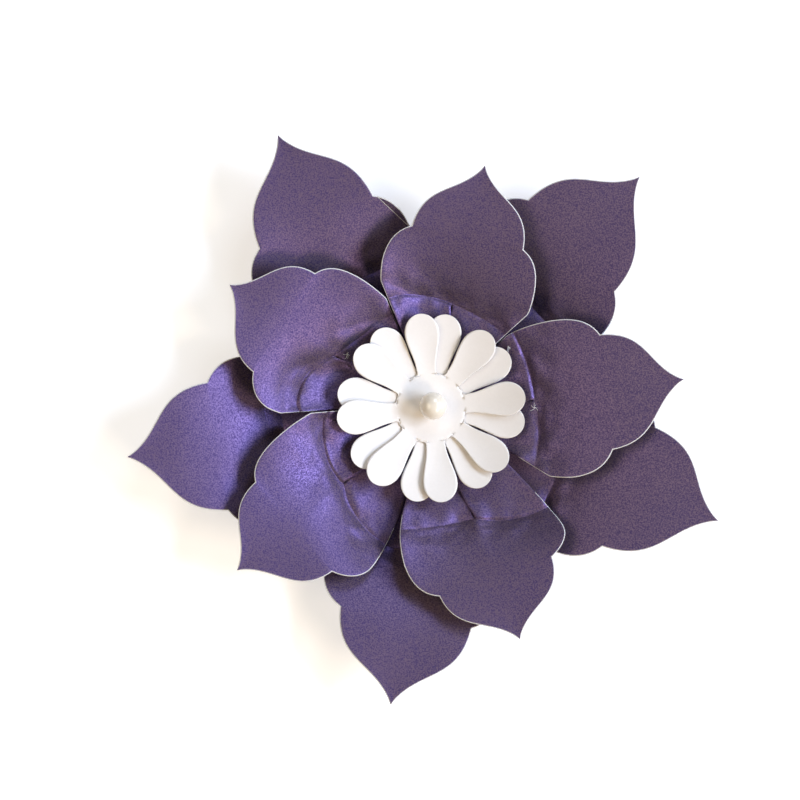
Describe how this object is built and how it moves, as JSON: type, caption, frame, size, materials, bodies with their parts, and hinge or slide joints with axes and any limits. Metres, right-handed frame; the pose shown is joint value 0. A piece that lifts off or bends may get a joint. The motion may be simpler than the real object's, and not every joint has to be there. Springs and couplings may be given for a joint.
{
  "type": "paper flower",
  "caption": "Large flower of folded purple pearlescent card petals in an outer and an inner ring, with white card daisies and a pearl bead in the middle.",
  "frame": {"origin": "middle of the backing disc's rear face", "axes": "+Z out of the flower's face, +Y towards the petal at the top of the picture"},
  "size_m": [0.2135, 0.2057, 0.0233],
  "materials": {
    "purple_card": "pearlescent, satin",
    "white_card": "matt",
    "pearl_bead": "pearl coat"
  },
  "bodies": {
    "root": {"backing_disc": "purple_card", "outer_petal_1": "purple_card", "outer_petal_2": "purple_card", "outer_petal_3": "purple_card", "outer_petal_4": "purple_card", "outer_petal_5": "purple_card", "inner_petal_1": "purple_card", "inner_petal_2": "purple_card", "inner_petal_3": "purple_card", "inner_petal_4": "purple_card", "inner_petal_5": "purple_card", "daisy_lower": "white_card", "daisy_upper": "white_card", "pearl": "pearl_bead"}
  },
  "joints": []
}
